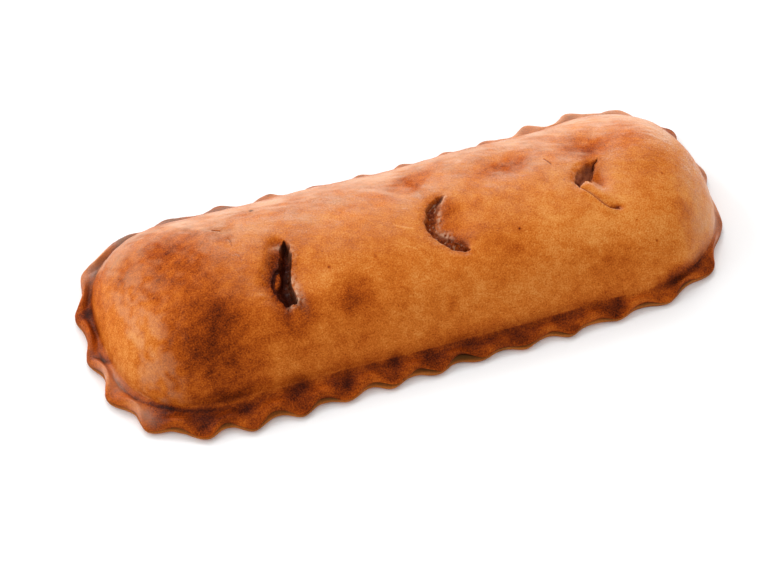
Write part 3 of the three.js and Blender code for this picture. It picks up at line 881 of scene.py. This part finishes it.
def makeCrust():
    material = bpy.data.materials.new("egg washed shortcrust")
    material.use_nodes = True
    tree = material.node_tree
    shader = tree.nodes["Principled BSDF"]
    look = crustLook
    place = addNode(tree, "ShaderNodeTexCoord").outputs["Object"]
    painted = {name: addNode(tree, "ShaderNodeAttribute", attribute_name=name).outputs["Fac"]
               for name in finishLayers + ("paintedGreyShade",)}

    def reckon(operation, *values):
        return addNode(tree, "ShaderNodeMath", dict(enumerate(values)), operation=operation).outputs[0]

    def ranged(value, low, high, start=0.0, end=1.0):
        return addNode(tree, "ShaderNodeMapRange", {"Value": value, "From Min": start, "From Max": end,
                                                    "To Min": low, "To Max": high}).outputs[0]

    def brushed(turn):
        return addNode(tree, "ShaderNodeMapping", {"Vector": place, "Rotation": (0, 0, math.radians(turn)),
                                                   "Scale": (look["strokeStretch"], 1, 1)},
                       vector_type="TEXTURE").outputs[0]

    alongX = addNode(tree, "ShaderNodeSeparateXYZ", {0: place}).outputs["X"]
    onHump = ranged(alongX, 1.0, 0.0, *(end * mm for end in look["humpFrom"]))
    offHump = reckon("SUBTRACT", 1.0, onHump)
    matt = ranged(painted["gloss"], 1.0, look["glossGrain"])
    total = painted["browningAndPaintedShade"]
    made = {}
    for name, vector, mask in (("clouds", place, None), ("mottle", place, None),
                               ("strokes", brushed(look["strokeTurn"]), offHump),
                               ("humpStrokes", brushed(look["humpTurn"]), onHump), ("grain", place, matt)):
        size, amount, detail = look[name]
        made[name] = addNode(tree, "ShaderNodeTexNoise", {"Vector": vector, "Scale": perMm(size),
                                                          "Detail": detail}).outputs["Fac"]
        shift = reckon("SUBTRACT", made[name], 0.5)
        if mask:
            shift = reckon("MULTIPLY", shift, mask)
        total = reckon("MULTIPLY_ADD", shift, amount, total)
    size, amount = look["pores"]
    cells = addNode(tree, "ShaderNodeTexVoronoi", {"Vector": place, "Scale": perMm(size)}).outputs["Distance"]
    total = reckon("ADD", ranged(cells, amount, 0.0, *look["poreEdge"]), total)
    ramp = addNode(tree, "ShaderNodeValToRGB", {"Fac": total})
    stops = ramp.color_ramp.elements
    while len(stops) < len(look["ramp"]):
        stops.new(0.5)
    for stop, (at, code) in zip(stops, look["ramp"]):
        stop.position = at
        stop.color = hexColour(code)
    colour = ramp.outputs["Color"]
    for name, code, share in look["tints"]:
        factor = reckon("MULTIPLY", painted[name], share)
        # sockets of a colour mix by number: 0 factor, 6 and 7 the colours, 2 the result
        colour = addNode(tree, "ShaderNodeMix", {0: factor, 6: colour, 7: hexColour(code)},
                         data_type="RGBA").outputs[2]
    rough = ranged(painted["gloss"], look["roughness"], look["glossRoughness"])
    # browner spots keep less of the glaze, and the brush left more of it along its strokes
    worn = ranged(total, 1.0, look["wornLeft"], *look["worn"])
    mixed = {0: onHump, 2: made["strokes"], 3: made["humpStrokes"]}
    strokes = addNode(tree, "ShaderNodeMix", mixed).outputs[0]
    laid = ranged(strokes, look["betweenStrokes"], 1.0, *look["strokeEdge"])
    glazed = reckon("MULTIPLY", reckon("MULTIPLY", painted["glazeAndPaintedSheen"], worn), laid)
    coated = reckon("MAXIMUM", glazed, painted["gloss"])
    height = reckon("MULTIPLY_ADD", made["grain"], look["grainShare"], made["mottle"])
    bump = addNode(tree, "ShaderNodeBump", {"Height": height, "Strength": look["bumpStrength"],
                                            "Distance": look["bump"] * mm})
    glazeHeight = reckon("MULTIPLY_ADD", strokes, look["strokeShare"], made["grain"])
    glazeStrength = ranged(painted["gloss"], *look["glazeStrengths"])
    glazeBump = addNode(tree, "ShaderNodeBump", {"Height": glazeHeight, "Strength": glazeStrength,
                                                 "Distance": look["glazeBump"] * mm})
    for name, socket in (("Base Color", colour), ("Roughness", rough), ("Coat Weight", coated),
                         ("Normal", bump.outputs[0]), ("Coat Normal", glazeBump.outputs[0])):
        tree.links.new(socket, shader.inputs[name])
    shader.inputs["IOR"].default_value = look["ior"]
    shader.inputs["Specular IOR Level"].default_value = look["specular"]
    shader.inputs["Coat Roughness"].default_value = look["glazeRoughness"]
    return material


mesh.materials.append(makeCrust())
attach(pastry, "root")
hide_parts("empanada")
print("pastry placed and painted")

# Plain pale floor, soft light from behind and from the left, and the camera at the photograph's angle.
stage = {
    "floorSize": 6.0, "floorColour": "ffffff", "floorRoughness": 0.9,
    # a dim room in front and a bright wall behind: strengths, the way to the wall, and where they meet
    "worldColour": "ffffff", "worldFront": 0.67, "worldBack": 1.0, "worldWay": (0.42, 0.9, -0.1),
    "worldFrom": 0.2, "worldTo": 0.95,
    # name, place, width, height, power
    "lights": [
        ("low panel behind", (0.45, 1.25, 0.2), 2.2, 0.36, 7.6),
        ("high back", (0.1, 0.9, 1.3), 0.8, 0.8, 8.8),
        ("left", (-1.1, 0.2, 0.65), 0.6, 0.6, 4.0),
        ("spark", (-0.7, 0.9, 0.8), 0.2, 0.2, 3.0),
    ],
    # millimetres and degrees, and the focal length in pixels of a picture 772 wide
    "aim": (-10.77, -13.0, 11.0), "distance": 600, "azimuth": -19.91, "elevation": 52,
    "focalPx": 2246.6, "widthPx": 772, "sensor": 36, "nearest": 10,
}


def makeFloor():
    bm = bmesh.new()
    bmesh.ops.create_grid(bm, x_segments=1, y_segments=1, size=stage["floorSize"] / 2)
    floorMesh = bpy.data.meshes.new("floor")
    bm.to_mesh(floorMesh)
    bm.free()
    floor = bpy.data.objects.new("floor", floorMesh)
    scene.collection.objects.link(floor)
    floorLook = bpy.data.materials.new("matt paper floor")
    floorLook.use_nodes = True
    shader = floorLook.node_tree.nodes["Principled BSDF"]
    shader.inputs["Base Color"].default_value = hexColour(stage["floorColour"])
    shader.inputs["Roughness"].default_value = stage["floorRoughness"]
    floorMesh.materials.append(floorLook)


def makeLight():
    world = bpy.data.worlds.new("studio")
    scene.world = world
    world.use_nodes = True
    tree = world.node_tree
    background = tree.nodes["Background"]
    background.inputs["Color"].default_value = hexColour(stage["worldColour"])
    way = addNode(tree, "ShaderNodeTexCoord").outputs["Generated"]
    backward = addNode(tree, "ShaderNodeVectorMath", {0: way, 1: stage["worldWay"]},
                       operation="DOT_PRODUCT")
    bright = addNode(tree, "ShaderNodeMapRange", {"Value": backward.outputs["Value"],
                                                  "From Min": stage["worldFrom"],
                                                  "From Max": stage["worldTo"],
                                                  "To Min": stage["worldFront"],
                                                  "To Max": stage["worldBack"]})
    tree.links.new(bright.outputs[0], background.inputs["Strength"])
    for name, place, width, height, power in stage["lights"]:
        lamp = bpy.data.lights.new(name, "AREA")
        lamp.shape = "RECTANGLE"
        lamp.size = width
        lamp.size_y = height
        lamp.energy = power
        light = bpy.data.objects.new(name, lamp)
        light.location = place
        light.rotation_euler = (-Vector(place)).to_track_quat("-Z", "Y").to_euler()
        scene.collection.objects.link(light)


def makeCamera():
    a, e = math.radians(stage["azimuth"]), math.radians(stage["elevation"])
    back = Vector((math.sin(a) * math.cos(e), -math.cos(a) * math.cos(e), math.sin(e)))
    lens = bpy.data.cameras.new("camera")
    lens.sensor_width = stage["sensor"]
    lens.lens = stage["focalPx"] * lens.sensor_width / stage["widthPx"]
    lens.clip_start = stage["nearest"] * mm
    camera = bpy.data.objects.new("camera", lens)
    camera.location = (Vector(stage["aim"]) + back * stage["distance"]) * mm
    camera.rotation_euler = (-back).to_track_quat("-Z", "Y").to_euler()
    scene.collection.objects.link(camera)
    scene.camera = camera


makeFloor()
makeLight()
makeCamera()
scene.view_settings.view_transform = "Standard"
print("stage set")
